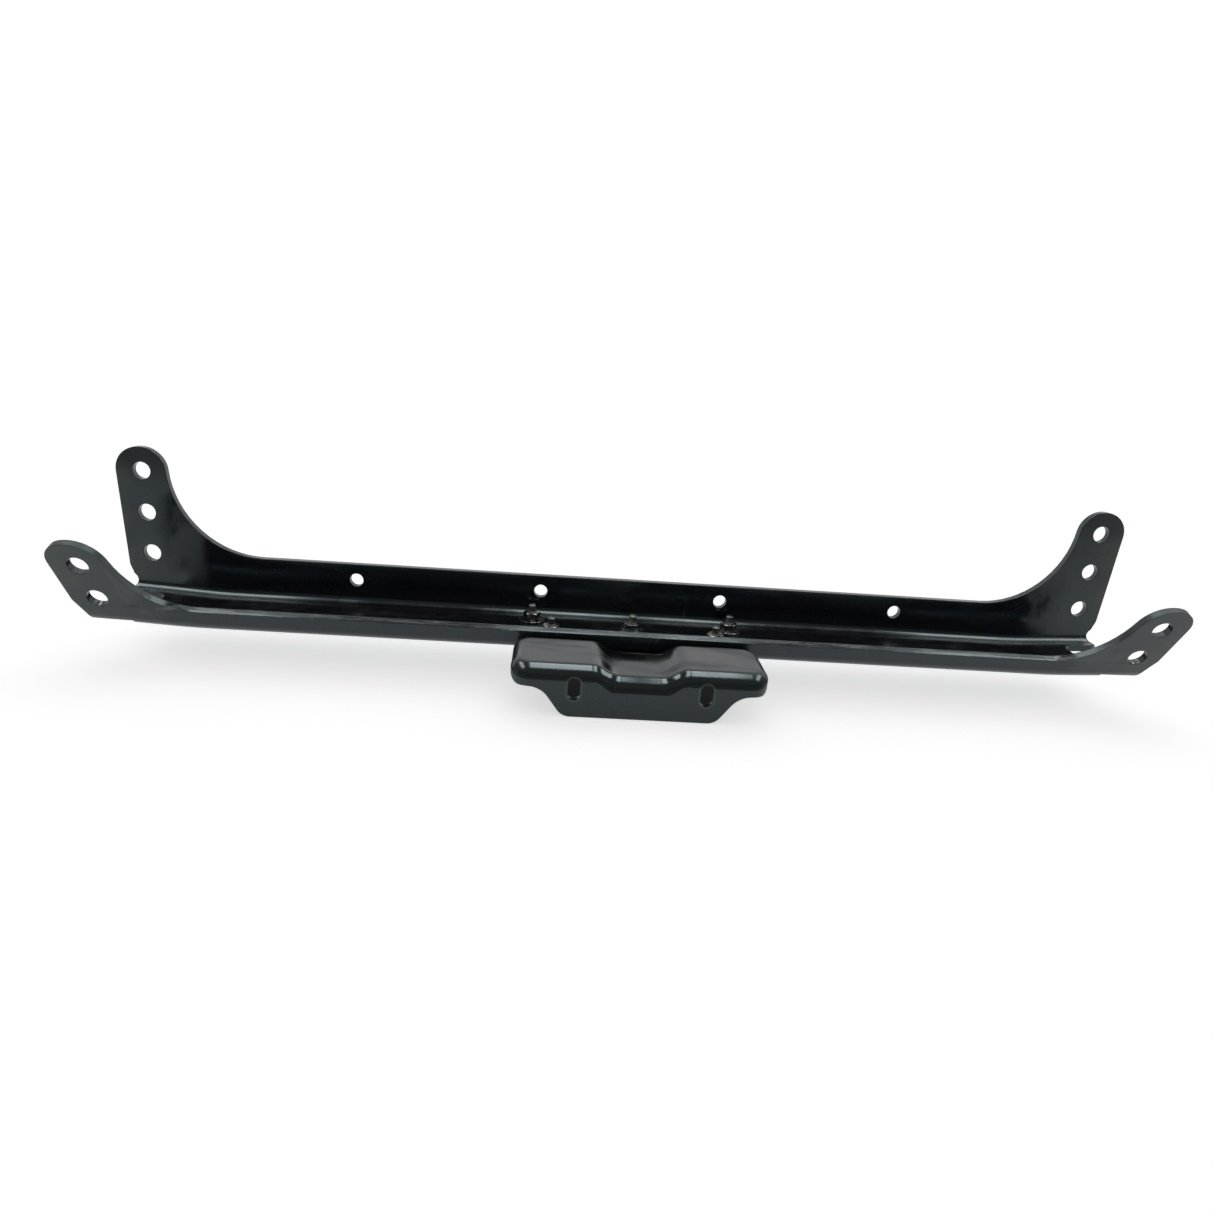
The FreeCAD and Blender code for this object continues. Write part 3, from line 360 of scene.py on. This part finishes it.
def black_paint(name, dark, cloudy, rough, wear, smears=0.13, olive=0.0, lip=None, slots=None,
                crown=None, reach=0.012):
    """Black coating over pressed steel: clouds, orange peel, rolling marks, dust, worn edges, and
    grime with painted shade in hollows.
    """
    graph = Graph(name)
    across, back, up = graph.axes[0], graph.axes[1], graph.axes[2]
    cloud = graph.span(graph.noise(7.0, 3.0, warp=0.6), 0.42, 0.68)
    smear = graph.span(graph.noise(26.0, 4.0, stretch=(0.35, 1, 1), warp=1.2), 0.45, 0.75)
    colour = graph.mix(cloud, (*dark, 1), (*cloudy, 1))

    dust_film = graph.times(graph.upward(), graph.span(graph.noise(45.0, 5.0), 0.42, 0.8), 0.10)
    colour = graph.mix(dust_film, colour, DUST)
    specks = graph.times(graph.span(graph.cells(260.0), 0.13, 0.07),
                         graph.span(graph.noise(18.0, 2.0), 0.50, 0.62))
    colour = graph.mix(graph.times(specks, 0.45), colour, DUST)
    scratch = scratches(graph)
    colour = graph.mix(graph.times(scratch, 0.35), colour, PRIMER)

    edge, rounded = graph.edges(PAINT_EDGE)
    rub = graph.span(graph.noise(55.0, 5.0, rough=0.65), wear, wear + 0.16)
    worn = graph.times(edge, rub)
    nick = graph.span(graph.noise(240.0, 3.0, stretch=(0.6, 1, 1)), 0.60, 0.66)
    bare = graph.times(edge, rub, nick)
    if lip:
        low, high, behind = lip
        on_lip = graph.times(graph.band(up, low, high, LIP_SOFT),
                             graph.span(back, behind, behind - LIP_BACK_SOFT))
        dashes = graph.span(graph.noise(70.0, 4.0, stretch=(0.5, 1, 1), rough=0.6), 0.50, 0.60)
        worn = graph.sum("MAXIMUM", worn, graph.times(on_lip, dashes, 0.65))
        streaks = graph.span(graph.noise(420.0, 3.0, stretch=(0.05, 1, 1), rough=0.7), 0.42, 0.60)
    colour = graph.mix(graph.times(worn, 0.8), colour, PRIMER)
    colour = graph.mix(bare, colour, BARE_STEEL)

    if slots:
        ring = graph.slot_rings(*slots)
        colour = graph.mix(graph.times(ring, graph.span(cloud, 0, 1, 0.22, 0.4)), colour, PRIMER)

    if olive:
        aside = graph.sum("ABSOLUTE", across)
        haze = ear_haze(graph, aside, up)
        colour = graph.mix(haze, colour, HAZE)
        outside = graph.span(aside, *OLIVE_ACROSS)
        tint = graph.times(outside, graph.span(graph.noise(30.0, 4.0), 0.35, 0.65), olive)
        colour = graph.mix(tint, colour, OLIVE)
        film = graph.times(graph.span(aside, *FILM_ACROSS), graph.span(back, *FILM_FRONT))
        colour = graph.mix(graph.times(film, 0.5), colour, FILM)

    # grime with painted shade: the colour darkened in hollows and corners, found by ambient occlusion
    grime_and_shade = graph.times(graph.hollow(reach), graph.span(graph.noise(60.0, 3.0), 0.3, 0.6))
    colour = graph.mix(graph.times(grime_and_shade, 0.5), colour, GRIME_AND_SHADE)

    roughness = graph.blend(smear, rough, rough + smears)
    roughness = graph.sum("ADD", roughness, graph.times(dust_film, 1.2))
    roughness = graph.blend(graph.sum("MAXIMUM", worn, scratch), roughness, WORN_ROUGH)
    roughness = graph.blend(grime_and_shade, roughness, GRIMY_ROUGH)
    if olive:
        roughness = graph.blend(haze, roughness, HAZY_ROUGH)
        tips = graph.times(graph.span(aside, *EAR_RIM_ACROSS), graph.upward(),
                           graph.span(back, *EAR_RIM_FRONT))
        roughness = graph.blend(tips, roughness, RIM_ROUGH)
    if lip:
        roughness = graph.blend(on_lip, roughness, graph.blend(streaks, *LIP_ROUGH))

    if crown:
        rounded = graph.softened(rounded, crown)
    peel = graph.bump(graph.noise(330.0, 2.0), *PEEL, rounded)
    wave = graph.bump(graph.noise(24.0, 2.0, stretch=(0.6, 1, 1)), *WAVE, peel)
    whole = graph.sum("SUBTRACT", 1.0, graph.sum("MAXIMUM", bare, scratch))
    chipped = graph.bump(whole, *CHIP, wave)
    graph.set("Base Color", colour)
    graph.set("Roughness", roughness)
    graph.set("Metallic", graph.times(bare, BARE_METAL))
    graph.set("IOR", PAINT_IOR)
    graph.set("Specular Tint", PAINT_TINT)
    graph.set("Normal", chipped)
    return graph.material


# ---- fastener steel --------------------------------------------------------------------------

THREAD_PITCH = 0.00125
THREAD_HEIGHTS = (-0.079, -0.060)
THREAD_SOFT = 0.0003
THREAD_BUMP = (0.9, 0.0003)      # strength and depth of the bumps
DENT_BUMP = (0.4, 0.00022)
GRAIN_BUMP = (0.25, 0.00006)
STEEL_EDGE = 0.0005
STEEL_REACH = 0.004              # how far the grime and painted shade spread out of corners
STAIN_ROUGH = 0.15
RUST = (0.060, 0.048, 0.040, 1)
RUBBED_STEEL = (0.60, 0.59, 0.57, 1)
# colour of the oily grime and of the painted shade in corners
OILY_GRIME_AND_SHADE = (0.012, 0.011, 0.01, 1)
THREAD_SHADE = (0.01, 0.01, 0.01, 1)


def plated_steel(name, dull, bright, rough, metal, threads=False):
    """Zinc-plated fastener steel: stains, tool marks, brighter corners, grime with painted shade in
    inside corners, and screw threads with painted shade in their grooves.
    """
    graph = Graph(name)
    stain = graph.span(graph.noise(160.0, 4.0, warp=0.8), 0.4, 0.66)
    colour = graph.mix(stain, (*dull, 1), (*bright, 1))
    rust = graph.times(graph.span(graph.noise(420.0, 4.0), 0.60, 0.70), 0.45)
    colour = graph.mix(rust, colour, RUST)
    edge, rounded = graph.edges(STEEL_EDGE)
    rub = graph.times(edge, graph.span(graph.noise(300.0, 3.0), 0.26, 0.46))
    colour = graph.mix(rub, colour, RUBBED_STEEL)
    # grime with painted shade: darker and less metallic in inside corners, found by ambient occlusion
    grime_and_shade = graph.times(graph.hollow(STEEL_REACH), graph.span(graph.noise(200.0, 2.0), 0.25, 0.6))
    colour = graph.mix(graph.times(grime_and_shade, 0.7), colour, OILY_GRIME_AND_SHADE)
    grain = graph.noise(1500.0, 2.0, stretch=(1, 1, 0.2))
    dents = graph.bump(graph.noise(520.0, 2.0), *DENT_BUMP, rounded)
    normal = graph.bump(grain, *GRAIN_BUMP, dents)
    if threads:
        up = graph.axes[2]
        turn = graph.sum("SINE", graph.times(up, 2 * math.pi / THREAD_PITCH))
        ridge = graph.times(turn, graph.band(up, *THREAD_HEIGHTS, THREAD_SOFT))
        normal = graph.bump(ridge, *THREAD_BUMP, normal)
        # painted shade: the thread grooves darkened in colour
        colour = graph.mix(graph.span(ridge, 0.0, -0.9, 0.0, 0.6), colour, THREAD_SHADE)
    graph.set("Base Color", colour)
    graph.set("Roughness", graph.blend(stain, rough, rough + STAIN_ROUGH))
    graph.set("Metallic", graph.blend(grime_and_shade, metal, 0.1))
    graph.set("Normal", normal)
    return graph.material


# ---- scene -----------------------------------------------------------------------------------

def paint(node, material):
    """The material in every slot of the node, and in a new slot where it has none."""
    if not node.material_slots:
        node.data.materials.append(material)
    for slot in node.material_slots:
        slot.material = material


LIP = (-0.0560, -0.0535, -0.0780)          # heights of the front flange's top edge, and its front
SLOTS = (0.0495, -0.0777, 0.00425, 0.00475)  # centre, height, half straight length, half width
CROWN = {
    "ramp": (0.020, 0.034),                # where the saddle ends and the lobes begin
    "crests": (-0.0675, -0.0598),          # heights of saddle and lobes
    "bend": (0.008, 0.0150),               # depths below the crest where the bend is full and ends
    "turn": 0.42,
    "rear": (-0.097, -0.092),              # the back of the crown, which turns up more
    "rear_depth": (0.009, 0.006),
    "rear_turn": 2.2,
}

channel = black_paint("channel_paint", dark=(0.0056, 0.0068, 0.0104),
                      cloudy=(0.0088, 0.0104, 0.0124), rough=0.13, wear=0.50, olive=0.35, lip=LIP)
bracket = black_paint("bracket_paint", dark=(0.0050, 0.0066, 0.0070),
                      cloudy=(0.0095, 0.0125, 0.0125), rough=0.13, wear=0.52, smears=0.24,
                      slots=SLOTS, crown=CROWN, reach=0.030)
bolt = plated_steel("bolt_steel", dull=(0.088, 0.088, 0.088), bright=(0.175, 0.175, 0.172),
                    rough=0.36, metal=0.75, threads=True)
nut = plated_steel("nut_steel", dull=(0.050, 0.050, 0.052), bright=(0.42, 0.42, 0.42),
                   rough=0.12, metal=0.9)
LOOKS = {"crossmember": channel, "support": bracket, "bolt": bolt, "nut": nut, "washer": nut}
for name, node in NODES.items():
    paint(node, LOOKS[name.split("_")[0]])

add_camera()
add_world()
add_floor()
for panel in PANELS:
    add_panel(*panel)

bpy.context.scene.view_settings.view_transform = "Standard"
